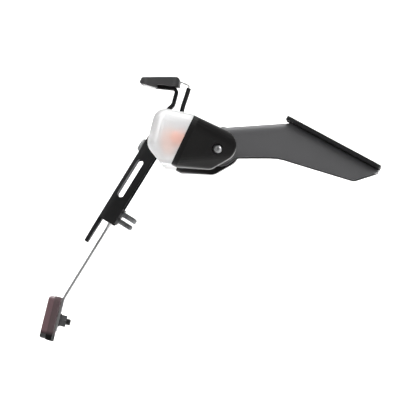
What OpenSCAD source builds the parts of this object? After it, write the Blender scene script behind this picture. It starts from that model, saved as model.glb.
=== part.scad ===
// Tail tidy for a motorbike: a folded bracket that carries a number plate, its lamp,
// a reflector and two indicators. +X is forward, +Y is left and +Z is up.
// The origin is the centre of the mounting holes, on the top face of the mounting plate.

/* [Mounting plate] */
// Slope of the seat unit's underside, nose down
mount_tilt = 28.2; // [20:0.1:34]
// Length of the plate along the slope
plate_l = 75; // [70:1:90]
// Width of the plate
plate_w = 92; // [84:1:110]
// Thickness of the plate
plate_t = 3; // [2:0.5:5]
// Corner radius of the plate
plate_corner = 8; // [3:0.5:12]
// Side of the square of mounting holes
mount_pitch = 46; // [40:1:50]
// Diameter of the mounting holes
mount_hole_d = 6.5; // [5.5:0.1:8]
// Distance between the two screws that hold the arm to the plate
arm_screw_pitch = 50; // [40:1:54]

/* [Arm] */
// Outside width of the channel
arm_w = 76; // [72:1:80]
// Sheet thickness of the arm
arm_t = 3; // [2:0.5:4]
// Outside radius of the folds along the channel
arm_fold_r = 4.5; // [4.2:0.1:6]
// Distance of the bend behind the rear arm screw, along the slope
bend_past_screw = 7; // [6:0.5:10]
// Rise of the rear stretch towards the bend, in degrees
arm_rise = 3.9; // [0:0.1:8]
// Height of the rear stretch's lower edge
arm_under_z = -11.4; // [-14:0.1:-10]
// Where the lower edge turns down to the belly
arm_step_x = -40.8; // [-48:0.1:-34]
// Lowest point of the belly, forward of the origin
belly_x = 13.4; // [6:0.1:18]
// Height of the belly
belly_z = -27.9; // [-32:0.1:-25]
// Blunt edge left at the nose
nose_t = 2.4; // [1.5:0.1:4]
// Rear end of the side cheeks
cheek_rear_x = -109; // [-112:0.5:-104]
// Lean of the cheeks' rear edges, top rearward
cheek_lean = 8; // [6:0.5:9]
// Depth of the indicator ears below the lower edge
ear_drop = 4.9; // [3:0.1:7]
// Width of the tongue that carries the hanger
tongue_w = 52; // [48:1:56]
// Length of the tongue below its fold
tongue_l = 19; // [16:0.5:21]

/* [Hanger] */
// Rear face of the hanger behind the origin, at the hanger's own zero height
hanger_x = -135.1; // [-145:0.1:-130]
// Height of the hanger's own zero
hanger_z = -1.6; // [-6:0.1:4]
// Lean of the hanger, top forward
hanger_tilt = 31.7; // [25:0.1:38]
// Outside width of the tray
hanger_w = 64; // [62:1:74]
// Sheet thickness of the hanger
hanger_t = 2.5; // [1.5:0.5:3]
// Depth of the tray from its rear face
hanger_depth = 12.4; // [11.5:0.1:15]
// Outside radius of the tray's folds
hanger_fold_r = 4; // [3.6:0.1:6]
// Top of the tray walls above the hanger's zero
tray_top = 14; // [11:0.5:18]
// Bottom of the tray walls below the hanger's zero
tray_drop = 60.8; // [58:0.1:66]
// Bottom of the flat tongue below the hanger's zero
hanger_drop = 80.6; // [74:0.1:90]
// Width of the flat tongue
hanger_tongue_w = 54; // [40:1:55]
// Start of the side windows below the hanger's zero
window_drop = 11; // [9:0.5:14]
// Length of the side windows
window_l = 30.5; // [20:0.5:32]
// Width of the side windows
window_w = 4.7; // [3:0.1:5.5]
// Where the sheet kinks forward, above the hanger's zero
kink_up = 28.5; // [24:0.5:32]
// Distance between the bolts that hold the hanger to the arm
hanger_bolt_pitch = 32; // [24:1:36]
// Diameter of the bolts that hold the hanger
hanger_bolt_d = 5; // [4:1:6]
// Height adjustment in the hanger's slots
height_travel = 8; // [4:1:10]

/* [Plate and stay bolts] */
// Thread of the four bolts that hold the number plate and the stay
plate_bolt_d = 4; // [3:0.5:4]
// Length of those bolts
plate_bolt_l = 24; // [20:0.5:28]
// Distance between the upper pair
upper_pitch = 44; // [42:1:46]
// Upper pair below the hanger's zero
upper_drop = 50.5; // [49:0.5:52]
// Distance between the lower pair
lower_pitch = 20; // [16:1:24]
// Lower pair below the hanger's zero
lower_drop = 56; // [55:0.1:56.5]
// Length of the spacers between hanger and stay
spacer_l = 5.7; // [3:0.1:6]
// Outside diameter of the spacers
spacer_d = 7; // [6.2:0.1:8]

/* [Stay and reflector] */
// Sheet thickness of the stay
stay_t = 1.5; // [1:0.1:2]
// Width of the stay's head inside the tray
stay_head_w = 54; // [52:1:56]
// Width of the stay's strip
stay_w = 22; // [16:1:30]
// Bend of the stay below the hanger's zero
stay_bend_drop = 123.5; // [112:0.5:132]
// Length of the stay's foot behind the reflector
stay_foot_l = 24; // [22:0.5:28]
// Lean of the reflector, top forward
reflector_tilt = 13.9; // [5:0.1:20]
// Width of the reflector
reflector_w = 94; // [70:1:110]
// Height of the reflector
reflector_h = 31.5; // [30:0.5:36]
// Thickness of the reflector's back
reflector_base_t = 2.3; // [2:0.1:3]
// Thickness of the whole reflector
reflector_t = 8.6; // [7.5:0.1:12]
// Reflector's fixing stud below the bend
stud_drop = 15.6; // [14:0.1:17]
// Thread of the stud
stud_d = 5; // [4:0.5:6]

/* [Plate lamp] */
// Width of the hanger's neck and of the tab under the lamp
neck_w = 30; // [26:1:40]
// Rise of the neck between its two bends
neck_rise = 9.7; // [8:0.1:14]
// Lean of the neck, top forward
neck_lean = 15; // [5:0.5:18]
// Run of the sheet from the kink forward to the neck
kink_run = 4.4; // [4:0.1:6]
// Rise of the sheet from the kink to the neck
kink_rise = 3.9; // [3.5:0.1:6]
// Length of the tab under the lamp
tab_l = 15; // [13:0.5:16]
// Upward slope of the lamp to the rear, in degrees
lamp_tilt = 5.9; // [0:0.1:10]
// Length of the lamp
lamp_l = 28.6; // [27:0.1:34]
// Width of the lamp
lamp_w = 66; // [60:1:80]
// Height of the lamp at its front
lamp_h = 6.9; // [6.5:0.1:9]
// Height of the lamp at its rear
lamp_rear_h = 4; // [3.8:0.1:6]
// Depth of the lamp's skirt behind the tab
lamp_skirt = 2.3; // [1.8:0.1:2.5]
// Distance between the lamp's screws
lamp_screw_pitch = 16; // [12:1:18]

/* [Indicators] */
// Centre of the joint between housing and lens, forward
indicator_x = -106; // [-110:0.5:-102]
// Centre of the joint between housing and lens, upward
indicator_z = -1.4; // [-3:0.1:0]
// Lean of that joint, top forward
indicator_tilt = 25.3; // [15:0.1:30]
// Inner side of the indicator from the centre plane
indicator_y = 84; // [80:1:100]
// Width of the indicator
indicator_w = 56; // [50:1:66]
// Width of its nose
nose_w = 31; // [28:1:34]
// Radius of its nose, seen from the side
nose_r = 11.3; // [10.5:0.1:12]
// Radius of the rim's outer corners
rim_r = 9; // [6:0.5:11]
// Wall of the housing and of the lens
indicator_wall = 2; // [1.5:0.1:2.4]
// Depth of the lens
lens_l = 25; // [22:0.5:30]
// Depth of the housing
housing_l = 36; // [35:0.5:40]
// Height of the housing at its joint
housing_h = 38; // [36:0.5:42]
// Stem axis forward of the joint
stem_x = 24.4; // [23.5:0.1:25]
// Stem axis above the middle of the joint
stem_z = 4.6; // [3:0.1:6]
// Diameter of the rubber stem
stem_d = 14; // [12:0.5:15]
// Diameter of the stem's core
core_d = 6; // [5:0.5:7]
// Thread of the clamp screw
clamp_d = 4; // [3:0.5:4.5]
// Head of the clamp screw
clamp_head_d = 7; // [6.5:0.5:8]

/* [Lamp lead] */
// Diameter of the black sleeve
sleeve_d = 3.4; // [3:0.1:3.6]
// Diameter of the wires from the lamp
wires_d = 1.6; // [1:0.1:2]
// Grommet behind the arm's bend
grommet_back = 78; // [76:0.5:79]

/* [Fit] */
// Radial clearance of screws and bolts in their holes
hole_gap = 0.25; // [0.1:0.05:0.5]
// Radial clearance of threads
thread_gap = 0.05; // [0.02:0.01:0.1]
// Clearance between moulded pieces that slide together
mould_gap = 0.2; // [0.1:0.05:0.3]

/* [Hidden] */
$fn = 48;
arc_step = 15;
// Length that reaches past the whole part, for cuts
reach = 500;

arm_black = [0.16, 0.16, 0.17];
sheet_black = [0.1, 0.1, 0.1];
zinc = [0.7, 0.71, 0.72];
moulded_black = [0.13, 0.13, 0.13];
rubber_black = [0.09, 0.09, 0.09];
clear = [0.92, 0.93, 0.95];

// Plane geometry, with points as [across, up] and corners as [across, up, radius]
function unit(v) = v / norm(v);
function turn_of(a, b) = a.x * b.y - a.y * b.x;
function point(p) = [p[0], p[1]];
function left_of(v) = [-v.y, v.x];

// Points of the arc that rounds corner b between a and c
function corner(a, b, c, r) =
    let (u = unit(a - b), v = unit(c - b), half = acos(u * v) / 2)
    r <= 0 || half > 89.5 ? [b] :
    let (centre = b + unit(u + v) * r / sin(half),
         start = b + u * r / tan(half) - centre,
         turn = sign(turn_of(b - a, c - b)) * (180 - 2 * half),
         first = atan2(start.y, start.x),
         n = max(2, ceil(abs(turn) / arc_step)))
    [for (i = [0:n]) centre + r * [cos(first + turn * i / n), sin(first + turn * i / n)]];

// Closed outline with rounded corners
function outline(p) =
    let (n = len(p))
    [for (i = [0:n - 1])
        each corner(point(p[(i + n - 1) % n]), point(p[i]), point(p[(i + 1) % n]), p[i][2])];

// Open route with rounded corners
function route(p) =
    let (n = len(p))
    concat([point(p[0])],
           [for (i = [1:n - 2]) each corner(point(p[i - 1]), point(p[i]), point(p[i + 1]), p[i][2])],
           [point(p[n - 1])]);

// Corner i of an open path, moved by d to the left of the way it runs
function beside(p, i, d) =
    let (n = len(p),
         before = unit(point(p[max(i, 1)]) - point(p[max(i, 1) - 1])),
         after = unit(point(p[min(i, n - 2) + 1]) - point(p[min(i, n - 2)])),
         side = unit(left_of(before) + left_of(after)))
    point(p[i]) + side * d / (side * left_of(before));

// Outline of a folded sheet with inside fold radii: the path is one face, and the other
// lies t to the left of the way it runs, or to the right where t is negative
function folded(p, t) =
    let (n = len(p),
         turns = [for (i = [0:n - 1]) i == 0 || i == n - 1 ? 0 :
             t * turn_of(point(p[i]) - point(p[i - 1]), point(p[i + 1]) - point(p[i]))],
         near = [for (i = [0:n - 1]) [p[i][0], p[i][1],
             turns[i] == 0 ? 0 : turns[i] > 0 ? p[i][2] + abs(t) : p[i][2]]],
         far = [for (i = [n - 1:-1:0])
             let (q = beside(p, i, t))
             [q.x, q.y, turns[i] == 0 ? 0 : turns[i] > 0 ? p[i][2] : p[i][2] + abs(t)]])
    outline(concat(near, far));

// Closed outline moved inwards by d, for corners that run anticlockwise
function inset(p, d) =
    let (n = len(p))
    [for (i = [0:n - 1])
        let (before = unit(point(p[i]) - point(p[(i + n - 1) % n])),
             after = unit(point(p[(i + 1) % n]) - point(p[i])),
             side = unit(left_of(before) + left_of(after)),
             q = point(p[i]) + side * d / (side * left_of(before)),
             hollow = turn_of(before, after) < 0)
        [q.x, q.y, hollow ? p[i][2] + d : max(p[i][2] - d, 0.3)]];

// Solids from outlines: across the part, along it, and flat plates
module side_prism(points, width) {
    rotate([90, 0, 0])
        linear_extrude(height = width, center = true)
            polygon(points);
}
module lengthways(points, length) {
    rotate([90, 0, 90])
        linear_extrude(height = length, center = true)
            polygon(points);
}
module along_x(x0, x1, d) {
    translate([x0, 0, 0])
        rotate([0, 90, 0])
            cylinder(h = x1 - x0, d = d);
}
module along_y(y0, y1, d) {
    translate([0, y0, 0])
        rotate([-90, 0, 0])
            cylinder(h = y1 - y0, d = d);
}
module pair_y(pitch) {
    for (side = [-1, 1])
        translate([0, side * pitch / 2, 0])
            children();
}
module on_side(side) {
    if (side > 0) children();
    else mirror([0, 1, 0]) children();
}

// Fasteners point down: the seat face is at zero and the thread runs to -l
module countersunk_form(d, l, head_d, gap) {
    r = d / 2 + gap;
    head_r = head_d / 2 + gap;
    land = 0.3;
    rotate_extrude()
        polygon([[0, gap], [head_r, gap], [head_r, -land], [r, -land - (head_r - r)], [r, -l], [0, -l]]);
}
module hex_key(d, depth) {
    translate([0, 0, -depth])
        cylinder(h = depth + 1, d = d, $fn = 6);
}
module countersunk_screw(d, l, head_d) {
    difference() {
        countersunk_form(d, l, head_d, 0);
        hex_key(d * 0.6, d * 0.45);
    }
}
module button_screw(d, l, head_d, head_h) {
    difference() {
        union() {
            rotate_extrude()
                polygon([[0, 0], [head_d / 2, 0], [head_d / 2, head_h * 0.4],
                         [head_d * 0.36, head_h * 0.85], [head_d * 0.24, head_h], [0, head_h]]);
            translate([0, 0, -l])
                cylinder(h = l, d = d);
        }
        translate([0, 0, head_h])
            hex_key(d * 0.6, head_h * 0.6);
    }
}
function nut_af(d) = d * 1.6 + 0.2;
function nut_h(d) = d * 0.8;
module hex_nut(d) {
    h = nut_h(d);
    wide = nut_af(d) / cos(30);
    difference() {
        intersection() {
            cylinder(h = h, d = wide, $fn = 6);
            rotate_extrude()
                polygon([[0, 0], [nut_af(d) / 2, 0], [wide / 2, (wide - nut_af(d)) * 0.3],
                         [wide / 2, h - (wide - nut_af(d)) * 0.3], [nut_af(d) / 2, h], [0, h]]);
        }
        translate([0, 0, -1])
            cylinder(h = h + 2, d = d + 2 * thread_gap);
    }
}
module tube(h, outer_d, inner_d) {
    difference() {
        cylinder(h = h, d = outer_d);
        translate([0, 0, -1])
            cylinder(h = h + 2, d = inner_d);
    }
}

// Mounting slope: local x runs forward down the slope, and z is its outward normal
module on_slope() {
    rotate([0, mount_tilt, 0])
        children();
}
function slope(u, w) = [u * cos(mount_tilt) + w * sin(mount_tilt), -u * sin(mount_tilt) + w * cos(mount_tilt)];
screw_d = 5;
screw_head_d = 9.6;
screw_l = plate_t + arm_t + nut_h(screw_d) + 1.5;

module mount_holes(depth) {
    pair_y(mount_pitch)
        for (x = [-1, 1])
            translate([x * mount_pitch / 2, 0, -depth])
                cylinder(h = depth + 5, d = mount_hole_d);
}
module arm_screw_places() {
    for (x = [-1, 1])
        translate([x * arm_screw_pitch / 2, 0, 0])
            children();
}
module mount_plate() {
    l = plate_l / 2;
    w = plate_w / 2;
    color(sheet_black)
        on_slope()
            difference() {
                translate([0, 0, -plate_t])
                    linear_extrude(height = plate_t)
                        polygon(outline([[-l, -w, plate_corner], [l, -w, plate_corner],
                                         [l, w, plate_corner], [-l, w, plate_corner]]));
                mount_holes(plate_t + 5);
                arm_screw_places()
                    countersunk_form(screw_d, plate_t + 5, screw_head_d, hole_gap);
            }
}
module arm_screws() {
    color(zinc)
        on_slope()
            arm_screw_places()
                translate([0, 0, -0.1])
                    countersunk_screw(screw_d, screw_l, screw_head_d);
}
module arm_nuts() {
    color(zinc)
        on_slope()
            arm_screw_places()
                translate([0, 0, -plate_t - arm_t - nut_h(screw_d)])
                    hex_nut(screw_d);
}

// Arm: a channel, open below, whose top follows the slope and then the rear stretch
bend = slope(-arm_screw_pitch / 2 - bend_past_screw, -plate_t);
function rear(x, z) = bend + [x * cos(arm_rise) - z * sin(arm_rise), x * sin(arm_rise) + z * cos(arm_rise)];
module on_rear() {
    translate([bend.x, 0, bend.y])
        rotate([0, -arm_rise, 0])
            children();
}
module on_hanger() {
    translate([hanger_x, 0, hanger_z])
        rotate([0, hanger_tilt, 0])
            children();
}
hanger_front = [cos(hanger_tilt), -sin(hanger_tilt)];
hanger_down = [-sin(hanger_tilt), -cos(hanger_tilt)];
function hanger_point(x, z) = [hanger_x, hanger_z] + x * hanger_front - z * hanger_down;
// The rear stretch runs back until its tongue lies on the front of the hanger
rear_l = ((bend - [hanger_x, hanger_z]) * hanger_front - hanger_t) / cos(arm_rise + hanger_tilt);
tongue_corner = rear(-rear_l, 0);
tongue_corner_up = -(tongue_corner - [hanger_x, hanger_z]) * hanger_down;
tongue_bolt_up = tongue_corner_up - tongue_l / 2 - 2.5;
stem_at = [indicator_x + stem_x * cos(indicator_tilt) + stem_z * sin(indicator_tilt),
           indicator_z - stem_x * sin(indicator_tilt) + stem_z * cos(indicator_tilt)];
core_hole_d = core_d + 2 * hole_gap;
grommet_hole_d = 9;
rivet_back = 50;
rivet_d = 3;

module channel_bar(width, r) {
    deep = 90;
    lengthways(outline([[-width / 2, -deep, 0], [width / 2, -deep, 0],
                        [width / 2, 0, r], [-width / 2, 0, r]]), reach);
}
function cheek_outline() =
    let (nose = slope(plate_l / 2, -plate_t - nose_t),
         nose_top = slope(plate_l / 2, 10),
         ear_z = arm_under_z - ear_drop)
    outline([[nose.x, nose.y, 1], [nose_top.x, nose_top.y, 0], [bend.x, 60, 0],
             [cheek_rear_x - cheek_lean, 60, 0], [cheek_rear_x - cheek_lean, 12, 0],
             [cheek_rear_x, arm_under_z, 9],
             [stem_at.x - 15, arm_under_z, 8], [stem_at.x - 8.5, ear_z, 5],
             [stem_at.x + 5, ear_z, 5.5], [stem_at.x + 12, arm_under_z, 7],
             [arm_step_x, arm_under_z, 30], [belly_x, belly_z, 6]]);
module channel() {
    difference() {
        intersection() {
            side_prism(cheek_outline(), arm_w + 2);
            on_slope()
                translate([0, 0, -plate_t])
                    channel_bar(arm_w, arm_fold_r);
            on_rear()
                channel_bar(arm_w, arm_fold_r);
        }
        intersection() {
            on_slope()
                translate([0, 0, -plate_t - arm_t])
                    channel_bar(arm_w - 2 * arm_t, arm_fold_r - arm_t);
            on_rear()
                translate([0, 0, -arm_t])
                    channel_bar(arm_w - 2 * arm_t, arm_fold_r - arm_t);
        }
    }
}
module arm_tongue() {
    start = rear(-grommet_back + 12, 0);
    end = tongue_corner + tongue_l * hanger_down;
    intersection() {
        side_prism(folded([[start.x, start.y, 0], [tongue_corner.x, tongue_corner.y, 2],
                           [end.x, end.y, 0]], arm_t), tongue_w);
        on_hanger()
            lengthways(outline([[-tongue_w / 2, tongue_corner_up - tongue_l, 6],
                                [tongue_w / 2, tongue_corner_up - tongue_l, 6],
                                [tongue_w / 2, reach, 0], [-tongue_w / 2, reach, 0]]), reach);
    }
}
module main_arm() {
    color(arm_black)
        difference() {
            union() {
                channel();
                arm_tongue();
            }
            on_slope() {
                mount_holes(plate_t + arm_t + 2);
                arm_screw_places()
                    translate([0, 0, -plate_t - arm_t - 2])
                        cylinder(h = arm_t + 4, d = screw_d + 2 * hole_gap);
            }
            on_rear() {
                translate([-grommet_back, 0, -arm_t - 2])
                    cylinder(h = arm_t + 4, d = grommet_hole_d);
                translate([-rivet_back, 0, -arm_t - 2])
                    cylinder(h = arm_t + 4, d = rivet_d + 2 * hole_gap);
            }
            translate([stem_at.x, 0, stem_at.y])
                along_y(-arm_w, arm_w, core_hole_d);
            on_hanger()
                translate([0, 0, tongue_bolt_up])
                    pair_y(hanger_bolt_pitch)
                        along_x(0, hanger_t + arm_t + 2, hanger_bolt_d + 2 * hole_gap);
        }
}

// Hanger: a folded tray, with local x forward from its rear face and z up along it
kink = hanger_point(0, kink_up);
neck_foot = kink + [kink_run, kink_rise];
neck_top = neck_foot + neck_rise * [tan(neck_lean), 1];
tab_end = neck_top + (tab_l - hanger_t) * [-cos(lamp_tilt), sin(lamp_tilt)];
hanger_foot = hanger_point(0, -hanger_drop);
sheet_path = [[hanger_foot.x, hanger_foot.y, 0], [kink.x, kink.y, 3], [neck_foot.x, neck_foot.y, 3],
              [neck_top.x, neck_top.y, 1.5], [tab_end.x, tab_end.y, 0]];
module hanger_sheet() {
    tongue = hanger_tongue_w / 2;
    neck = neck_w / 2;
    shoulder_z = hanger_point(0, tray_top - 2).y;
    neck_z = hanger_point(0, kink_up - 2).y;
    foot_z = hanger_foot.y - 5;
    intersection() {
        side_prism(folded(sheet_path, -hanger_t), hanger_w);
        lengthways(outline([[-tongue + 12, foot_z, 0], [tongue - 12, foot_z, 0],
                            [tongue, hanger_foot.y + 10, 8], [tongue, shoulder_z, 10],
                            [neck, neck_z, 8], [neck, reach, 0], [-neck, reach, 0], [-neck, neck_z, 8],
                            [-tongue, shoulder_z, 10], [-tongue, hanger_foot.y + 10, 8]]), reach);
    }
}
module tray() {
    half = hanger_w / 2;
    inner = half - hanger_t;
    r = hanger_fold_r;
    mid = (tray_top - tray_drop) / 2;
    intersection() {
        translate([0, 0, mid])
            linear_extrude(height = tray_top + tray_drop, center = true)
                difference() {
                    polygon(outline([[0, -half, r], [hanger_depth, -half, 0.6],
                                     [hanger_depth, half, 0.6], [0, half, r]]));
                    polygon(outline([[hanger_t, -inner, r - hanger_t], [hanger_depth + 9, -inner, 0],
                                     [hanger_depth + 9, inner, 0], [hanger_t, inner, r - hanger_t]]));
                }
        side_prism(outline([[-1, -tray_drop, 0], [hanger_depth, -tray_drop, 1.5],
                            [hanger_depth, tray_top - 9, 4], [hanger_t, tray_top, 2], [-1, tray_top, 0]]),
                   hanger_w + 2);
    }
}
module window() {
    x = hanger_t + 0.2 + window_w / 2;
    translate([x, 0, -window_drop - window_l / 2])
        rotate([90, 0, 0])
            linear_extrude(height = hanger_w + 4, center = true)
                slot_form(window_l, window_w);
}
module slot_form(l, w) {
    square([w, l - w], center = true);
    for (end = [-1, 1])
        translate([0, end * (l - w) / 2])
            circle(d = w);
}
module height_slot() {
    rotate([90, 0, 90])
        linear_extrude(height = 4 * hanger_t, center = true)
            slot_form(height_travel + hanger_bolt_d + 2 * hole_gap, hanger_bolt_d + 2 * hole_gap);
}
module plate_bolt_places() {
    translate([0, 0, -upper_drop])
        pair_y(upper_pitch)
            children();
    translate([0, 0, -lower_drop])
        pair_y(lower_pitch)
            children();
}
plate_head_d = plate_bolt_d * 1.75;
module hanger() {
    color(sheet_black)
        difference() {
            union() {
                hanger_sheet();
                on_hanger()
                    tray();
            }
            on_hanger() {
                window();
                translate([0, 0, tongue_bolt_up])
                    pair_y(hanger_bolt_pitch)
                        height_slot();
                plate_bolt_places()
                    rotate([0, -90, 0])
                        countersunk_form(plate_bolt_d, 4 * hanger_t, plate_head_d, hole_gap);
            }
            on_lamp()
                lamp_screw_places()
                    rotate([180, 0, 0])
                        translate([0, 0, hanger_t])
                            countersunk_form(lamp_screw_d, 4 * hanger_t, lamp_head_d, hole_gap);
        }
}
washer_t = 1;
hanger_bolt_l = hanger_t + arm_t + washer_t + nut_h(hanger_bolt_d) + 1.5;
module hanger_bolt_places() {
    on_hanger()
        translate([0, 0, tongue_bolt_up])
            pair_y(hanger_bolt_pitch)
                children();
}
module hanger_bolts() {
    color(zinc)
        hanger_bolt_places()
            rotate([0, -90, 0])
                button_screw(hanger_bolt_d, hanger_bolt_l, hanger_bolt_d * 1.9, hanger_bolt_d * 0.5);
}
module hanger_washers() {
    color(zinc)
        hanger_bolt_places()
            translate([hanger_t + arm_t, 0, 0])
                rotate([0, 90, 0])
                    tube(washer_t, hanger_bolt_d * 2, hanger_bolt_d + 2 * hole_gap);
}
module hanger_nuts() {
    color(zinc)
        hanger_bolt_places()
            translate([hanger_t + arm_t + washer_t, 0, 0])
                rotate([0, 90, 0])
                    hex_nut(hanger_bolt_d);
}
module plate_bolts() {
    color(zinc)
        on_hanger()
            plate_bolt_places()
                rotate([0, -90, 0])
                    translate([0, 0, -0.1])
                        countersunk_screw(plate_bolt_d, plate_bolt_l, plate_head_d);
}
module stay_spacers() {
    color(zinc)
        on_hanger()
            plate_bolt_places()
                translate([hanger_t, 0, 0])
                    rotate([0, 90, 0])
                        tube(spacer_l, spacer_d, plate_bolt_d + 2 * hole_gap);
}
stay_rear = hanger_t + spacer_l;
stay_front = stay_rear + stay_t;
plate_washer_t = 0.8;
module plate_washers() {
    color(zinc)
        on_hanger()
            plate_bolt_places()
                translate([stay_front, 0, 0])
                    rotate([0, 90, 0])
                        tube(plate_washer_t, plate_bolt_d * 2.1, plate_bolt_d + 2 * hole_gap);
}
module plate_nuts() {
    color(zinc)
        on_hanger()
            plate_bolt_places()
                translate([stay_front + plate_washer_t, 0, 0])
                    rotate([0, 90, 0])
                        hex_nut(plate_bolt_d);
}

// Reflector: a stay bolted through the tray, bent at its foot, with the reflector behind
module on_reflector() {
    on_hanger()
        translate([stay_rear, 0, -stay_bend_drop])
            rotate([0, reflector_tilt - hanger_tilt, 0])
                children();
}
module reflector_stay() {
    foot = stay_foot_l * [sin(hanger_tilt - reflector_tilt), -cos(hanger_tilt - reflector_tilt)];
    head_top = -upper_drop + 6;
    head_low = -lower_drop - 6;
    head = stay_head_w / 2;
    strip = stay_w / 2;
    path = [[stay_rear, head_top, 0], [stay_rear, -stay_bend_drop, 3],
            [stay_rear + foot.x, -stay_bend_drop + foot.y, 0]];
    color(zinc)
        difference() {
            on_hanger()
                intersection() {
                    side_prism(folded(path, stay_t), stay_head_w);
                    lengthways(outline([[-strip, -reach, 0], [strip, -reach, 0], [strip, head_low - 4, 8],
                                        [head, head_low, 4], [head, head_top + 5, 0],
                                        [-head, head_top + 5, 0], [-head, head_low, 4],
                                        [-strip, head_low - 4, 8]]), reach);
                }
            on_hanger()
                plate_bolt_places()
                    along_x(stay_rear - 2, stay_front + 2, plate_bolt_d + 2 * hole_gap);
            on_reflector()
                translate([0, 0, -stud_drop])
                    along_x(-2, stay_t + 2, stud_d + 2 * hole_gap);
        }
}
function reflector_outline(in) =
    inset([[-reflector_w / 2, -reflector_h, 4], [reflector_w / 2, -reflector_h, 4],
           [reflector_w / 2, 0, 4], [-reflector_w / 2, 0, 4]], in);
reflector_rim = 1.6;
module reflector_base() {
    depth = reflector_base_t + 2;
    color(moulded_black)
        on_reflector()
            difference() {
                translate([-depth / 2, 0, 0])
                    lengthways(outline(reflector_outline(0)), depth);
                translate([-reflector_base_t - 5, 0, 0])
                    lengthways(outline(reflector_outline(reflector_rim)), 10);
                translate([0, 0, -stud_drop])
                    along_x(-4, 1, stud_d + 2 * thread_gap);
            }
}
module reflector_lens() {
    step = reflector_t - reflector_base_t - 2;
    color([0.5, 0.1, 0.12])
        on_reflector()
            union() {
                translate([-reflector_base_t - 1.5, 0, 0])
                    lengthways(outline(reflector_outline(reflector_rim + mould_gap)), 3);
                translate([-reflector_base_t - 2 - step / 2, 0, 0])
                    intersection() {
                        lengthways(outline(reflector_outline(0.3)), step);
                        side_prism(outline([[-step / 2, -reflector_h + 0.3, 1.5], [step, -reflector_h + 0.3, 0],
                                            [step, -0.3, 0], [-step / 2, -0.3, 2.6]]), reflector_w);
                    }
            }
}
stud_l = 9.6;
module reflector_stud() {
    color(zinc)
        on_reflector()
            translate([0, 0, -stud_drop])
                along_x(-reflector_base_t, stud_l, stud_d);
}
module reflector_washer() {
    color(zinc)
        on_reflector()
            translate([stay_t, 0, -stud_drop])
                rotate([0, 90, 0])
                    tube(washer_t, stud_d * 1.9, stud_d + 2 * hole_gap);
}
module reflector_nut() {
    color(zinc)
        on_reflector()
            translate([stay_t + washer_t, 0, -stud_drop])
                rotate([0, 90, 0])
                    hex_nut(stud_d);
}

// Plate lamp: local x runs forward, zero is the neck's front, and z is up from the tab
lamp_at = beside(sheet_path, 3, -hanger_t);
lamp_screw_d = 3;
lamp_head_d = 5.6;
lamp_screw_back = 8.5;
lamp_skirt_front = norm(beside(sheet_path, 4, -hanger_t) - lamp_at) + 0.3;
lamp_pocket_front = lamp_skirt_front + 1.3;
lamp_pocket_rear = lamp_l - 2.8;
lamp_pocket_w = lamp_w - 12;
lamp_lens_top = 1.2;
board_t = 1;
function lamp_top(x) = lamp_h + (lamp_h - lamp_rear_h) / lamp_l * x;
lamp_pocket_h = lamp_top(-lamp_pocket_rear) - 1.2;
module on_lamp() {
    translate([lamp_at.x, 0, lamp_at.y])
        rotate([0, lamp_tilt, 0])
            children();
}
module lamp_screw_places() {
    translate([-lamp_screw_back, 0, 0])
        pair_y(lamp_screw_pitch)
            children();
}
module lamp_pocket(gap, top, bottom) {
    x0 = -lamp_pocket_rear + gap;
    x1 = -lamp_pocket_front - gap;
    y = lamp_pocket_w / 2 - gap;
    translate([0, 0, bottom])
        linear_extrude(height = top - bottom)
            polygon(outline([[x0, -y, 2], [x1, -y, 2], [x1, y, 2], [x0, y, 2]]));
}
module lamp_side() {
    side_prism(outline([[0, 0, 0.6], [0, lamp_h, 2.6], [-lamp_l + 1.6, lamp_rear_h, 1.6], [-lamp_l, 0.2, 1],
                        [-lamp_l + 1.2, -0.5, 1], [-lamp_pocket_front - 1, -lamp_skirt, 3],
                        [-lamp_skirt_front, -lamp_skirt, 0.4], [-lamp_skirt_front, 0, 0]]), lamp_w);
}
module lamp_housing() {
    color([0.2, 0.2, 0.2])
        on_lamp()
            difference() {
                intersection() {
                    lamp_side();
                    linear_extrude(height = 20, center = true)
                        polygon(outline([[0, -lamp_w / 2 + 2, 5], [0, lamp_w / 2 - 2, 5],
                                         [-lamp_l, lamp_w / 2, 7], [-lamp_l, -lamp_w / 2, 7]]));
                }
                lamp_pocket(0, lamp_pocket_h, -lamp_skirt - 1);
                lamp_screw_places()
                    translate([0, 0, -1])
                        cylinder(h = 5, d = lamp_screw_d + 2 * thread_gap);
                translate([0, 0, 3.4])
                    along_x(-lamp_pocket_front - 2, 2, wires_d + 2 * hole_gap);
            }
}
module lamp_board() {
    color([0.1, 0.3, 0.16])
        on_lamp() {
            lamp_pocket(0.4, lamp_pocket_h, lamp_pocket_h - board_t);
            for (i = [-1, 0, 1])
                translate([-(lamp_pocket_front + lamp_pocket_rear) / 2, i * lamp_pocket_w / 3.4,
                           lamp_pocket_h - board_t])
                    mirror([0, 0, 1])
                        cylinder(h = 0.7, d = 4);
        }
}
module lamp_lens() {
    color(clear)
        on_lamp()
            intersection() {
                lamp_side();
                difference() {
                    lamp_pocket(mould_gap, lamp_lens_top, -lamp_skirt - 1);
                    lamp_pocket(1.6, 2, 0);
                }
            }
}
module lamp_screws() {
    color(zinc)
        on_lamp()
            lamp_screw_places()
                rotate([180, 0, 0])
                    translate([0, 0, hanger_t - 0.1])
                        countersunk_screw(lamp_screw_d, hanger_t + 3.4, lamp_head_d);
}

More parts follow.
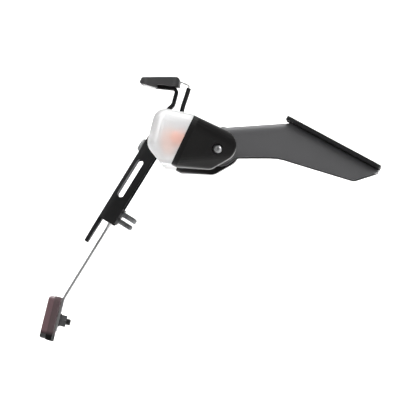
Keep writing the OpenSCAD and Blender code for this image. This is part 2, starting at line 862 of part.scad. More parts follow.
// Lamp lead: thin wires from the lamp into a sleeve that drops through the arm's web
wires_route = [[-111.2, 42.1, 0], [-108.4, 42, 2], [-103.1, 39.7, 1.6], [-103.9, 36.3, 0]];
sleeve_route = [[-103.4, 38, 0], [-105.6, 31, 30], [-108.7, 22, 20], [-108.6, 14, 14], [-107.1, 6, 8],
                [-106.6, -3.2, 7], [-96.5, -1.6, 10], [-92, 1.4, 8], [-86, 1.8, 0]];
function ring_at(p, i, r, sides) =
    let (n = len(p),
         way = unit(p[min(i + 1, n - 1)] - p[max(i - 1, 0)]),
         up = left_of(way))
    [for (k = [0:sides - 1])
        let (a = 360 * k / sides)
        [p[i].x + r * cos(a) * up.x, r * sin(a), p[i].y + r * cos(a) * up.y]];
module cord(p, d, sides) {
    n = len(p);
    rings = [for (i = [0:n - 1]) each ring_at(p, i, d / 2, sides)];
    walls = [for (i = [0:n - 2]) for (k = [0:sides - 1])
        let (a = i * sides + k, b = i * sides + (k + 1) % sides)
        [a, b, b + sides, a + sides]];
    ends = [[for (k = [sides - 1:-1:0]) k], [for (k = [0:sides - 1]) (n - 1) * sides + k]];
    polyhedron(points = rings, faces = concat(walls, ends));
}
module lamp_wires() {
    color([0.75, 0.75, 0.73])
        cord(route(wires_route), wires_d, 8);
}
module lead_sleeve() {
    color(rubber_black)
        difference() {
            cord(route(sleeve_route), sleeve_d, 8);
            translate([sleeve_route[0].x, 0, sleeve_route[0].y])
                rotate([0, 16, 0])
                    translate([0, 0, -4])
                        cylinder(h = 6, d = wires_d + 4 * mould_gap);
        }
}
module lead_grommet() {
    lip = 1.3;
    r = grommet_hole_d / 2;
    bore = sleeve_d / 2 + 0.35;
    color(rubber_black)
        on_rear()
            translate([-grommet_back, 0, 0])
                rotate_extrude()
                    polygon([[bore, lip], [r + 1.2, lip], [r + 1.6, 0], [r - 0.05, 0], [r - 0.05, -arm_t],
                             [r + 1.6, -arm_t], [r + 1.2, -arm_t - lip], [bore, -arm_t - lip]]);
}
connector_l = 18;
connector_w = 10;
connector_h = 7.6;
module lead_connector() {
    back = rivet_back + connector_l / 2;
    color([0.85, 0.84, 0.8])
        on_rear()
            difference() {
                union() {
                    translate([-rivet_back, 0, -arm_t - connector_h / 2])
                        lengthways(outline([[-connector_w / 2, -connector_h / 2, 1], [connector_w / 2, -connector_h / 2, 1],
                                            [connector_w / 2, connector_h / 2, 1], [-connector_w / 2, connector_h / 2, 1]]),
                                   connector_l);
                    translate([-rivet_back + 2, 0, -arm_t - connector_h - 0.6])
                        cube([8, 4, 1.4], center = true);
                }
                translate([-back, 0, -arm_t - connector_h / 2])
                    along_x(-1, 5, sleeve_d + 1.2);
                translate([-rivet_back, 0, -arm_t - 3])
                    cylinder(h = 4, d = rivet_d + 2 * thread_gap);
            }
}
module lead_rivet() {
    color(moulded_black)
        on_rear()
            translate([-rivet_back, 0, 0])
                rotate_extrude()
                    polygon([[0, 1.4], [1.8, 1.2], [3.6, 0.5], [4, 0], [rivet_d / 2, 0],
                             [rivet_d / 2, -arm_t - 2], [rivet_d / 2 - 0.6, -arm_t - 2.8], [0, -arm_t - 2.8]]);
}

// Indicators: local x runs forward from the joint between housing and lens, z along it
module on_indicator(side) {
    on_side(side)
        translate([indicator_x, 0, indicator_z])
            rotate([0, indicator_tilt, 0])
                children();
}
// Its rim at the joint, shared by the housing, the lens and the bowl
rim_l = 4;
module rim(x0, x1, in) {
    half = housing_h / 2;
    translate([(x0 + x1) / 2, 0, 0])
        lengthways(outline(inset([[indicator_y, -half, 5], [indicator_y + indicator_w, -half, rim_r],
                                  [indicator_y + indicator_w, half, rim_r], [indicator_y, half, 5]], in)),
                   x1 - x0);
}
// Round end across the housing, with its outer edge rounded
module nose_disc(x, z, r, in) {
    translate([x, indicator_y + in, z])
        rotate([-90, 0, 0])
            rotate_extrude($fn = 32)
                polygon(outline([[0, 0, 0], [r - in, 0, 0], [r - in, nose_w - 2 * in, nose_edge],
                                 [0, nose_w - 2 * in, 0]]));
}
nose_edge = 3.5;
nose_x = housing_l - nose_r + 0.3;
nose_z = housing_h / 2 + 0.3 - nose_r;
heel_r = 7;
heel_at = [nose_x - 3.5, nose_z - 12.5];
module housing_form(in) {
    hull() {
        rim(-in, rim_l, in);
        nose_disc(nose_x, nose_z, nose_r, in);
        nose_disc(heel_at.x, heel_at.y, heel_r, in);
    }
}
nose_far = nose_x + nose_r - nose_edge;
skin_at_screw = indicator_y + indicator_w - (indicator_w - nose_w) * (stem_x - rim_l) / (nose_far - rim_l);
// The lens is drawn over balls in its rear corners
ball_r = 9;
ball_top = [ball_r - lens_l - 0.5, 6.5];
ball_low = [ball_r - lens_l + 2.5, -8.5];
module lens_ball(at, r, in) {
    for (y = [indicator_y + r, indicator_y + indicator_w - r])
        translate([at.x, y, at.y])
            sphere(r = r - in, $fn = 24);
}
module lens_form(in) {
    hull() {
        rim(-2, in, in);
        lens_ball(ball_top, ball_r, in);
        lens_ball(ball_low, ball_r, in);
        lens_ball([-heel_r, 5 - housing_h / 2], heel_r, in);
    }
}
// Upright flutes along the inside of the lens's rear wall
flute_pitch = 4;
flute_out = 1;
module flutes() {
    r = flute_pitch * 0.55;
    n = floor((indicator_w / 2 - ball_r) / flute_pitch);
    slant = ball_top - ball_low;
    middle = (ball_top + ball_low) / 2;
    translate([middle.x, indicator_y + indicator_w / 2, middle.y])
        rotate([0, atan(slant.x / slant.y), 0])
            for (i = [-n:n])
                translate([indicator_wall - ball_r - r + flute_out, i * flute_pitch, 0])
                    cylinder(h = norm(slant) - 2, r = r, center = true);
}
module at_stem() {
    translate([stem_x, 0, stem_z])
        children();
}
cavity_l = 16;
core_into = 14;
clamp_head_h = clamp_d * 0.55;
clamp_seat = skin_at_screw - clamp_head_h - 1.6;
clamp_l = clamp_seat - indicator_y - core_into + 7;
module housing(side) {
    color(moulded_black)
        on_indicator(side)
            difference() {
                housing_form(0);
                intersection() {
                    housing_form(indicator_wall);
                    translate([cavity_l - reach, 0, -reach])
                        cube([reach, reach, 2 * reach]);
                }
                at_stem() {
                    along_y(indicator_y - 1, indicator_y + core_into, core_d + 2 * thread_gap);
                    along_y(indicator_y, clamp_seat + 1, clamp_d + 2 * hole_gap);
                    along_y(clamp_seat, clamp_seat + 20, clamp_head_d + 2 * hole_gap);
                }
            }
}
module lens(side) {
    color(clear)
        on_indicator(side)
            difference() {
                lens_form(0);
                difference() {
                    lens_form(indicator_wall);
                    flutes();
                }
            }
}
bowl_r = 14.5;
bowl_depth = 13;
bowl_t = 1.4;
bulb_r = 5;
function bowl_curve(r, depth) = [for (i = [0:8]) [r * sqrt(1 - i / 8 * 0.86), depth * i / 8]];
module bowl(side) {
    throat = bulb_r + 0.6;
    centre_y = indicator_y + indicator_w / 2;
    color([0.85, 0.86, 0.88])
        on_indicator(side)
            difference() {
                union() {
                    rim(indicator_wall, indicator_wall + bowl_t, indicator_wall + 2 * mould_gap);
                    translate([indicator_wall, centre_y, 0])
                        rotate([0, 90, 0])
                            rotate_extrude()
                                polygon(concat([[0, 0]], bowl_curve(bowl_r + bowl_t, bowl_depth),
                                               [[0, bowl_depth]]));
                }
                translate([indicator_wall - 0.1, centre_y, 0])
                    rotate([0, 90, 0])
                        rotate_extrude()
                            polygon(concat([[0, -1], [bowl_r, -1]], bowl_curve(bowl_r, bowl_depth - bowl_t),
                                           [[0, bowl_depth - bowl_t]]));
                translate([0, centre_y, 0])
                    along_x(0, 30, 2 * throat);
            }
}
module bulb(side) {
    centre_y = indicator_y + indicator_w / 2;
    color([0.95, 0.62, 0.3])
        on_indicator(side)
            translate([0, centre_y, 0])
                rotate([0, 90, 0])
                    rotate_extrude()
                        polygon(concat([[0, cavity_l - 1.5], [bulb_r * 0.7, cavity_l - 1.5],
                                        [bulb_r * 0.7, 8], [bulb_r, 5]],
                                       [for (a = [0:15:90]) [bulb_r * cos(a), -4 - bulb_r * sin(a)]]));
}
module bulb_holder(side) {
    centre_y = indicator_y + indicator_w / 2;
    color([0.3, 0.3, 0.3])
        on_indicator(side)
            translate([0, centre_y, 0])
                difference() {
                    along_x(10, cavity_l, 2 * bulb_r + 0.8);
                    along_x(7, cavity_l - 1.4, bulb_r * 1.4 + 0.2);
                }
}
stem_flange_d = 15.6;
stem_seat = arm_w / 2;
module stem(side) {
    l = indicator_y - stem_seat;
    r = stem_d / 2;
    ridge = 0.9;
    bore = core_d / 2 + thread_gap;
    step = (l - 14) / 5;
    color(rubber_black)
        on_side(side)
            translate([stem_at.x, stem_seat, stem_at.y])
                rotate([-90, 0, 0])
                    rotate_extrude()
                        polygon(concat([[bore, 0], [stem_flange_d / 2, 0], [stem_flange_d / 2, 3], [r, 6]],
                                       [for (i = [0:4]) each [[r, 7 + i * step], [r - ridge, 7 + (i + 0.3) * step],
                                                             [r - ridge, 7 + (i + 0.7) * step], [r, 7 + (i + 1) * step]]],
                                       [[r, l - 5], [r + 1.4, l - 2], [r + 1.4, l], [bore, l]]));
}
module core(side) {
    inside = arm_t + washer_t + nut_h(core_d) + 1.5;
    color(zinc)
        on_side(side)
            translate([stem_at.x, 0, stem_at.y])
                difference() {
                    along_y(stem_seat - inside, indicator_y + core_into - 0.3, core_d);
                    along_y(clamp_seat - clamp_l - 1, indicator_y + core_into + 1, clamp_d + 2 * thread_gap);
                }
}
module core_nut(side) {
    color(zinc)
        on_side(side)
            translate([stem_at.x, stem_seat - arm_t, stem_at.y])
                rotate([90, 0, 0]) {
                    tube(washer_t, core_d * 1.9, core_d + 2 * hole_gap);
                    translate([0, 0, washer_t])
                        hex_nut(core_d);
                }
}
module clamp_screw(side) {
    color(zinc)
        on_side(side)
            translate([stem_at.x, clamp_seat, stem_at.y])
                rotate([-90, 0, 0])
                    button_screw(clamp_d, clamp_l, clamp_head_d, clamp_head_h);
}

mount_plate();
main_arm();
arm_screws();
arm_nuts();
hanger();
hanger_bolts();
hanger_washers();
hanger_nuts();
plate_bolts();
stay_spacers();
plate_washers();
plate_nuts();
reflector_stay();
reflector_base();
reflector_lens();
reflector_stud();
reflector_washer();
reflector_nut();
lamp_housing();
lamp_lens();
lamp_board();
lamp_screws();
lamp_wires();
lead_sleeve();
lead_grommet();
lead_connector();
lead_rivet();
housing(1);  // left_housing
lens(1);  // left_lens
bowl(1);  // left_bowl
bulb(1);  // left_bulb
bulb_holder(1);  // left_bulb_holder
stem(1);  // left_stem
core(1);  // left_core
core_nut(1);  // left_core_nut
clamp_screw(1);  // left_clamp_screw
housing(-1);  // right_housing
lens(-1);  // right_lens
bowl(-1);  // right_bowl
bulb(-1);  // right_bulb
bulb_holder(-1);  // right_bulb_holder
stem(-1);  // right_stem
core(-1);  // right_core
core_nut(-1);  // right_core_nut
clamp_screw(-1);  // right_clamp_screw
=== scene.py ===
import math

import bmesh
import bpy
from mathutils import Matrix, Vector


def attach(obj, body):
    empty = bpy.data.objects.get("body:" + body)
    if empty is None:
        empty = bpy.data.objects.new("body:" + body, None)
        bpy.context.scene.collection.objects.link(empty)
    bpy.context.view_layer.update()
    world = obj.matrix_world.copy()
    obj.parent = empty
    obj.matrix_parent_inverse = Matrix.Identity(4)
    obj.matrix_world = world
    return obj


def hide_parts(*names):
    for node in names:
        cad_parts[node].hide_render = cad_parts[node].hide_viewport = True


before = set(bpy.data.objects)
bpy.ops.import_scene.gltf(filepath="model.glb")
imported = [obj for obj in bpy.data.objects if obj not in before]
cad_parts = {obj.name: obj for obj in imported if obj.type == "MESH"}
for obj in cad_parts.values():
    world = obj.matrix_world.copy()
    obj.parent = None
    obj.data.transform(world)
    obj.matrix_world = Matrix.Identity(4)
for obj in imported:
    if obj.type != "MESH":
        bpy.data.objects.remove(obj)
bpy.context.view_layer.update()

# Studio: a long lens looks at the part's right side from a little ahead of square and
# a little below, as the photograph does. The floor is a pale sweep that curves up behind,
# and large soft lamps hang above, in front on both sides and over the sweep.
view_width = 0.298
view_distance = 12.0
view_azimuth = math.radians(0.7)
view_elevation = math.radians(-1.0)
view_centre = Vector((-0.0885, 0.0, -0.0485))
film_width = 36
floor_z = -0.29
floor_front = -5.0
sweep_width = 8
sweep_back = 1.1
sweep_r = 0.7
sweep_wall = 0.5
sweep_colour = (0.86, 0.86, 0.86)
floor_colour = (0.57, 0.57, 0.57)
floor_fades = 0.05
uneven_size = 1.5
uneven_rise = 0.02
paper_colour = (0.88, 0.88, 0.88)
room_low = (0.35, 0.1)
room_high = (0.95, 1.0)
room_near = (-0.7, 0.12)
room_far = (0.3, 0.6)


def new_material(name, **values):
    made = bpy.data.materials.new(name)
    made.use_nodes = True
    shader = made.node_tree.nodes["Principled BSDF"]
    for socket, value in values.items():
        shader.inputs[socket.replace("_", " ")].default_value = value
    return made, made.node_tree, shader


def new_place(tree, output="Object"):
    return tree.nodes.new("ShaderNodeTexCoord").outputs[output]


def new_axes(tree, place):
    """The X, Y and Z of a place."""
    axes = tree.nodes.new("ShaderNodeSeparateXYZ")
    tree.links.new(place, axes.inputs["Vector"])
    return axes.outputs


def new_maths(tree, operation, *values):
    step = tree.nodes.new("ShaderNodeMath")
    step.operation = operation
    for socket, value in zip(step.inputs, values):
        if isinstance(value, bpy.types.NodeSocket):
            tree.links.new(value, socket)
        else:
            socket.default_value = value
    return step.outputs["Value"]


def new_noise(tree, place, scale, detail=2.0):
    noise = tree.nodes.new("ShaderNodeTexNoise")
    noise.inputs["Detail"].default_value = detail
    tree.links.new(place, noise.inputs["Vector"])
    if isinstance(scale, bpy.types.NodeSocket):
        tree.links.new(scale, noise.inputs["Scale"])
    else:
        noise.inputs["Scale"].default_value = scale
    return noise.outputs["Fac"]


def new_range(tree, value, start, end, low=0.0, high=1.0, smooth=False):
    """Turns what lies between a start and an end into what lies between low and high."""
    span = tree.nodes.new("ShaderNodeMapRange")
    span.interpolation_type = "SMOOTHSTEP" if smooth else "LINEAR"
    for label, number in (("From Min", start), ("From Max", end), ("To Min", low), ("To Max", high)):
        span.inputs[label].default_value = number
    tree.links.new(value, span.inputs["Value"])
    return span.outputs["Result"]


def new_tint(tree, share, first, second):
    """A colour between two, each a value or a socket."""
    mix = tree.nodes.new("ShaderNodeMix")
    mix.data_type = "RGBA"
    tree.links.new(share, mix.inputs["Factor"])
    for label, colour in (("A", first), ("B", second)):
        if isinstance(colour, bpy.types.NodeSocket):
            tree.links.new(colour, mix.inputs[label])
        else:
            mix.inputs[label].default_value = (*colour, 1)
    return mix.outputs["Result"]


def new_piece(name, mesh):
    piece = bpy.data.objects.new(name, mesh)
    bpy.context.scene.collection.objects.link(piece)
    return piece


def from_bmesh(name, bm, material):
    mesh = bpy.data.meshes.new(name)
    bm.to_mesh(mesh)
    bm.free()
    mesh.materials.append(material)
    for face in mesh.polygons:
        face.use_smooth = True
    return new_piece(name, mesh)


def corners_of(geometry):
    return [part for part in geometry if isinstance(part, bmesh.types.BMVert)]


def aim(thing, place, target):
    thing.location = place
    thing.rotation_euler = (Vector(target) - Vector(place)).to_track_quat("-Z", "Y").to_euler()


lens = bpy.data.cameras.new("long_lens")
lens.sensor_width = film_width
lens.lens = film_width * view_distance / view_width
lens.clip_end = 50
camera = new_piece("camera", lens)
to_camera = Vector((math.sin(view_azimuth) * math.cos(view_elevation),
                    -math.cos(view_azimuth) * math.cos(view_elevation),
                    math.sin(view_elevation)))
aim(camera, view_centre + to_camera * view_distance, view_centre)
bpy.context.scene.camera = camera

sweep_material, tree, shader = new_material("pale_sweep", Roughness=0.9)
place = new_place(tree)
uneven = new_maths(tree, "MULTIPLY_ADD", new_noise(tree, place, uneven_size), uneven_rise,
                   new_axes(tree, place)["Z"])
rise = new_range(tree, uneven, floor_z + uneven_rise, floor_z + uneven_rise + floor_fades)
tree.links.new(new_tint(tree, rise, floor_colour, sweep_colour), shader.inputs["Base Color"])
side_seen = tree.nodes.new("ShaderNodeNewGeometry")
front_only = new_maths(tree, "SUBTRACT", 1, side_seen.outputs["Backfacing"])
tree.links.new(front_only, shader.inputs["Alpha"])

bm = bmesh.new()
front = bm.verts.new((-sweep_width / 2, floor_front, floor_z))
turn = bm.verts.new((-sweep_width / 2, sweep_back, floor_z))
bm.edges.new((front, turn))
bmesh.ops.spin(bm, geom=[turn], cent=(-sweep_width / 2, sweep_back, floor_z + sweep_r),
               axis=(1, 0, 0), angle=math.pi / 2, steps=24)
top = max(bm.verts, key=lambda corner: corner.co.z)
wall = bmesh.ops.extrude_vert_indiv(bm, verts=[top])["verts"][0]
wall.co.z += sweep_wall
line = bmesh.ops.extrude_edge_only(bm, edges=bm.edges[:])["geom"]
bmesh.ops.translate(bm, verts=corners_of(line), vec=(sweep_width, 0, 0))
bm.normal_update()
bmesh.ops.reverse_faces(bm, faces=[face for face in bm.faces if face.normal.z < face.normal.y])
from_bmesh("pale_floor", bm, sweep_material)

world = bpy.data.worlds.new("studio")
bpy.context.scene.world = world
world.use_nodes = True
tree = world.node_tree
way = new_axes(tree, new_place(tree, "Generated"))
height = tree.nodes.new("ShaderNodeValToRGB")
for stop, (share, grey) in zip(height.color_ramp.elements, (room_low, room_high)):
    stop.position = share
    stop.color = (grey, grey, grey, 1)
tree.links.new(new_range(tree, way["Z"], -1, 1), height.inputs["Fac"])
room = tree.nodes["Background"]
tree.links.new(height.outputs["Color"], room.inputs["Color"])
depth = new_range(tree, way["Y"], room_near[0], room_far[0], room_near[1], room_far[1], smooth=True)
tree.links.new(depth, room.inputs["Strength"])
paper = tree.nodes.new("ShaderNodeBackground")
paper.inputs["Color"].default_value = (*paper_colour, 1)
ray = tree.nodes.new("ShaderNodeLightPath")
either = tree.nodes.new("ShaderNodeMixShader")
tree.links.new(ray.outputs["Is Camera Ray"], either.inputs["Fac"])
tree.links.new(room.outputs["Background"], either.inputs[1])
tree.links.new(paper.outputs["Background"], either.inputs[2])
tree.links.new(either.outputs["Shader"], tree.nodes["World Output"].inputs["Surface"])

for name, place, target, size, spread, power in (
        ("lamp_above", (-0.1, -0.6, 1.5), view_centre, 1.4, 180, 8),
        ("lamp_left", (-1.5, -1.6, 0.9), view_centre, 0.9, 180, 20),
        ("lamp_right", (1.3, -1.9, 0.9), view_centre, 0.9, 180, 26),
        ("lamp_sweep", (-0.1, 0.9, 2.2), (-0.1, 1.5, 0.2), 2.0, 90, 42)):
    lamp = bpy.data.lights.new(name, "AREA")
    lamp.size = size
    lamp.spread = math.radians(spread)
    lamp.energy = power
    aim(new_piece(name, lamp), place, target)
bpy.context.scene.view_settings.view_transform = "Standard"

# Lamp lead: two pale twisted wires leave the lamp's front into a black woven sleeve, which
# passes a rubber grommet in the arm's web and ends in a nylon connector riveted inside
# the channel. The routes are the CAD source's own, in millimetres with corner radii.
wires_route = ((-111.2, 42.1, 0), (-108.4, 42, 2), (-103.1, 39.7, 1.6), (-103.9, 36.3, 0))
sleeve_route = ((-103.4, 38, 0), (-105.6, 31, 30), (-108.7, 22, 20), (-108.6, 14, 14), (-107.1, 6, 8),
                (-106.6, -3.2, 7), (-96.5, -1.6, 10), (-92, 1.4, 8), (-86, 1.8, 0))
sleeve_d = 3.4
sleeve_sides = 20
rib_gap = 0.4
rib_depth = 0.16
wires_d = 1.6
wire_sides = 10
wire_gap = 0.3
twist_step = 0.28
twist_flat = 0.7
same_corner = 0.000002
same_plane = math.radians(0.5)
sharp_edge = math.radians(32)


def new_group(name, ins, outs):
    tree = bpy.data.node_groups.new(name, "ShaderNodeTree")
    for label, kind, value in ins:
        tree.interface.new_socket(label, in_out="INPUT", socket_type=kind).default_value = value
    for label, kind in outs:
        tree.interface.new_socket(label, in_out="OUTPUT", socket_type=kind)
    return tree, tree.nodes.new("NodeGroupInput").outputs, tree.nodes.new("NodeGroupOutput").inputs


def use_group(tree, group, values):
    """Places a node group in a material with its own values, and gives its outputs."""
    node = tree.nodes.new("ShaderNodeGroup")
    node.node_tree = group
    for label, value in values.items():
        node.inputs[label].default_value = value
    return node.outputs


def make_surface_grain():
    """Colour, roughness and normal of a coated, moulded or plated surface."""
    tree, given, made = new_group(
        "surface_grain",
        (("Colour", "NodeSocketColor", (0.5, 0.5, 0.5, 1)), ("Colour Spread", "NodeSocketFloat", 0.15),
         ("Roughness", "NodeSocketFloat", 0.5), ("Roughness Spread", "NodeSocketFloat", 0.1),
         ("Cloud Size", "NodeSocketFloat", 40.0), ("Grain Size", "NodeSocketFloat", 1000.0),
         ("Grain Depth", "NodeSocketFloat", 0.00002), ("Stretch", "NodeSocketVector", (1, 1, 1))),
        (("Colour", "NodeSocketColor"), ("Roughness", "NodeSocketFloat"), ("Normal", "NodeSocketVector")))
    stretch = tree.nodes.new("ShaderNodeVectorMath")
    stretch.operation = "MULTIPLY"
    tree.links.new(new_place(tree), stretch.inputs[0])
    tree.links.new(given["Stretch"], stretch.inputs[1])
    where = stretch.outputs["Vector"]
    cloud = new_noise(tree, where, given["Cloud Size"], 4)
    grain = new_noise(tree, where, given["Grain Size"])
    swing = new_maths(tree, "SUBTRACT", cloud, 0.5)
    shade = new_maths(tree, "MULTIPLY_ADD", swing, given["Colour Spread"], 1.0)
    colour = tree.nodes.new("ShaderNodeVectorMath")
    colour.operation = "SCALE"
    tree.links.new(given["Colour"], colour.inputs[0])
    tree.links.new(shade, colour.inputs["Scale"])
    tree.links.new(colour.outputs["Vector"], made["Colour"])
    fine = new_maths(tree, "ADD", swing, new_maths(tree, "SUBTRACT", grain, 0.5))
    rough = new_maths(tree, "MULTIPLY_ADD", fine, given["Roughness Spread"], given["Roughness"])
    tree.links.new(rough, made["Roughness"])
    bump = tree.nodes.new("ShaderNodeBump")
    tree.links.new(grain, bump.inputs["Height"])
    tree.links.new(given["Grain Depth"], bump.inputs["Distance"])
    tree.links.new(bump.outputs["Normal"], made["Normal"])
    return tree


surface_grain = make_surface_grain()


def grained(name, colour, values, **shader_values):
    """A material whose colour, roughness and normal come from the surface grain group."""
    material, tree, shader = new_material(name, **shader_values)
    grain = use_group(tree, surface_grain, {"Colour": (*colour, 1), **values})
    tree.links.new(grain["Colour"], shader.inputs["Base Color"])
    tree.links.new(grain["Roughness"], shader.inputs["Roughness"])
    tree.links.new(grain["Normal"], shader.inputs["Normal"])
    return material


def dress(node, material, edge=0.0, segments=3):
    """Puts a finish on a CAD node and rounds its sharp edges, without touching its mesh."""
    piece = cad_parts[node]
    piece.data.materials.clear()
    piece.data.materials.append(material)
    if edge:
        weld = piece.modifiers.new("weld", "WELD")
        weld.merge_threshold = same_corner
        flats = piece.modifiers.new("flats", "DECIMATE")
        flats.decimate_type = "DISSOLVE"
        flats.angle_limit = same_plane
        round_off = piece.modifiers.new("round_off", "BEVEL")
        round_off.width = edge
        round_off.segments = segments
        round_off.limit_method = "ANGLE"
        round_off.angle_limit = sharp_edge
        round_off.harden_normals = True
    return piece


def rounded(corners):
    """Points of a route in the centre plane, in metres, with its corners rounded."""
    points = [Vector(corners[0][:2])]
    for before, here, after in zip(corners, corners[1:], corners[2:]):
        corner = Vector(here[:2])
        u = (Vector(before[:2]) - corner).normalized()
        v = (Vector(after[:2]) - corner).normalized()
        half = u.angle(v) / 2
        centre = corner + (u + v).normalized() * here[2] / math.sin(half)
        arm = corner + u * here[2] / math.tan(half) - centre
        turn = math.copysign(math.pi - 2 * half, v.x * u.y - v.y * u.x)
        steps = max(2, math.ceil(abs(turn) / math.radians(15)))
        points += [centre + Matrix.Rotation(turn * i / steps, 2) @ arm for i in range(steps + 1)]
    points.append(Vector(corners[-1][:2]))
    return [Vector((point.x, 0, point.y)) / 1000 for point in points]


def resampled(points, gap):
    """The same route in equal steps of about the gap, in metres."""
    lengths = [0.0]
    for a, b in zip(points, points[1:]):
        lengths.append(lengths[-1] + (b - a).length)
    count = max(2, round(lengths[-1] / gap))
    made = []
    i = 0
    for k in range(count + 1):
        far = lengths[-1] * k / count
        while i < len(points) - 2 and lengths[i + 1] < far:
            i += 1
        share = (far - lengths[i]) / (lengths[i + 1] - lengths[i])
        made.append(points[i].lerp(points[i + 1], share))
    return made


def first_ring(bm, sides, place):
    """A circle of radius one at a place: its corners and its edges."""
    ring = bmesh.ops.create_circle(bm, segments=sides, radius=1, matrix=place)["verts"]
    return ring, list(dict.fromkeys(edge for corner in ring for edge in corner.link_edges))


def next_ring(bm, edges):
    """Extrudes a ring: the corners and the edges of the new one, which still lies on it."""
    made = bmesh.ops.extrude_edge_only(bm, edges=edges)["geom"]
    return corners_of(made), [part for part in made if isinstance(part, bmesh.types.BMEdge)]


def tube(bm, points, radii, sides):
    """Extrudes a circle along points near the centre plane, in metres, and closes its ends."""
    places = []
    for i, (point, radius) in enumerate(zip(points, radii)):
        way = (points[min(i + 1, len(points) - 1)] - points[max(i - 1, 0)]).normalized()
        up = way.cross((0, 1, 0)).normalized()
        turn = Matrix((-up, up.cross(way), way)).transposed().to_4x4()
        places.append(Matrix.Translation(point) @ turn @ Matrix.Scale(radius, 4))
    ring, edges = first_ring(bm, sides, places[0])
    bmesh.ops.contextual_create(bm, geom=edges)
    for last, here in zip(places, places[1:]):
        ring, edges = next_ring(bm, edges)
        bmesh.ops.transform(bm, matrix=here @ last.inverted(), verts=ring)
    bmesh.ops.contextual_create(bm, geom=edges)


def closed_piece(name, bm, material):
    """A piece from closed shells, with their faces turned outwards."""
    bmesh.ops.recalc_face_normals(bm, faces=bm.faces[:])
    return from_bmesh(name, bm, material)


rubber = grained("soft_rubber", (0.012, 0.012, 0.012),
                 {"Roughness": 0.6, "Roughness Spread": 0.15, "Cloud Size": 90, "Grain Size": 2500,
                  "Grain Depth": 0.00001})
nylon = grained("pale_nylon", (0.72, 0.71, 0.67),
                {"Roughness": 0.45, "Cloud Size": 120, "Colour Spread": 0.08, "Grain Size": 2500,
                 "Grain Depth": 0.00001}, Subsurface_Weight=0.1, Subsurface_Scale=0.002)
wire_skin = grained("wire_skin", (0.6, 0.6, 0.58),
                    {"Roughness": 0.4, "Cloud Size": 200, "Grain Size": 2500, "Grain Depth": 0.00001})
moulded = grained("moulded_black", (0.008, 0.0075, 0.0075),
                  {"Roughness": 0.42, "Roughness Spread": 0.15, "Cloud Size": 60, "Grain Size": 3200,
                   "Grain Depth": 0.00002}, Specular_IOR_Level=0.16)

sleeve_path = resampled(rounded(sleeve_route), rib_gap / 2 / 1000)
ribs = [(sleeve_d / 2 - rib_depth * (i % 2)) / 1000 for i in range(len(sleeve_path))]
bm = bmesh.new()
tube(bm, sleeve_path, ribs, sleeve_sides)
sleeve = closed_piece("woven_sleeve", bm, rubber)
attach(sleeve, "root")
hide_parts("lead_sleeve")

wires_path = resampled(rounded(wires_route), wire_gap / 1000)
wire_r = wires_d / 4 / 1000
bm = bmesh.new()
for start in (0, math.pi):
    turns = [start + i * twist_step for i in range(len(wires_path))]
    strand = [point + wire_r * Vector((twist_flat * math.sin(a), math.cos(a), twist_flat * math.sin(a)))
              for point, a in zip(wires_path, turns)]
    tube(bm, strand, [wire_r] * len(strand), wire_sides)
wires = closed_piece("twisted_wires", bm, wire_skin)
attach(wires, "root")
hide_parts("lamp_wires")
dress("lead_grommet", rubber)
dress("lead_connector", nylon, 0.0003)
dress("lead_rivet", moulded, 0.0002)

# Sheet parts: the mounting plate, the arm and the hanger are laser cut steel, folded,
# deburred and powder coated. The plate and the hanger are black, and the arm is given a
# lighter satin dark grey: painted light that stands in for the light on its broad cheeks.
black_coat = (0.008, 0.008, 0.0085)
# painted light: the arm's coat is a lighter grey than the black, for the light on its cheeks
arm_lit_coat = (0.085, 0.085, 0.088)
peel_size = 1100
peel_depth = 0.00003
sheet_edge = 0.0004

black_powder = grained("black_powder_coat", black_coat,
                       {"Roughness": 0.58, "Roughness Spread": 0.12, "Cloud Size": 35,
                        "Grain Size": peel_size, "Grain Depth": peel_depth}, Specular_IOR_Level=0.2)
# Painted light: a lighter copy of the powder coat for the arm's lit cheeks.
arm_lit_powder = grained("arm_lit_powder_coat", arm_lit_coat,
                      {"Roughness": 0.45, "Roughness Spread": 0.12, "Colour Spread": 0.12, "Cloud Size": 30,
                       "Grain Size": peel_size, "Grain Depth": peel_depth},
                      Coat_Weight=0.1, Coat_Roughness=0.35)
dress("mount_plate", black_powder, sheet_edge)
dress("hanger", black_powder, sheet_edge)
dress("main_arm", arm_lit_powder, sheet_edge)

# Fasteners: zinc plated steel screws, bolts, washers and nuts, cold formed, with rolled
# threads and hexagon sockets. Each one stands where the CAD has it, and its sizes are
# the CAD source's, in millimetres.
mount_tilt = math.radians(28.2)
seat_along = Vector((math.cos(mount_tilt), 0, -math.sin(mount_tilt)))
seat_up = Vector((math.sin(mount_tilt), 0, math.cos(mount_tilt)))
hanger_tilt = math.radians(31.7)
hanger_zero = Vector((-135.1, 0, -1.6))
hanger_axis = Vector((math.cos(hanger_tilt), 0, -math.sin(hanger_tilt)))
hanger_up = Vector((math.sin(hanger_tilt), 0, math.cos(hanger_tilt)))
sheet_t = 3.0
hanger_t = 2.5
stay_t = 1.5
spacer_l = 5.7
washer_t = 1.0
small_washer_t = 0.8
pitches = {4: 0.7, 5: 0.8}
thread_depth = 0.55
ridge_half = 0.44
crest_half = 0.07
ridge_fades = 8
tip_l = 0.5
tip_cut = 0.4
socket_share = 0.26
socket_depth = 0.4
nut_share = 0.8
nut_half_share = 0.8
nut_chamfer = 0.55
bore_gap = 0.05
bore_cut = 0.35
sunk_by = 0.1
arm_screw_d = 5
arm_screw_l = 11.5
arm_screw_head = 9.6
arm_screw_x = (-25, 25)
hanger_bolt_d = 5
hanger_bolt_l = 12
hanger_bolt_head = (9.5, 2.5)
hanger_bolt_y = (-16, 16)
hanger_bolt_up = -1.76
plate_bolt_d = 4
plate_bolt_l = 24
plate_bolt_head = 7
plate_bolt_places = ((-22, -50.5), (22, -50.5), (-10, -56), (10, -56))


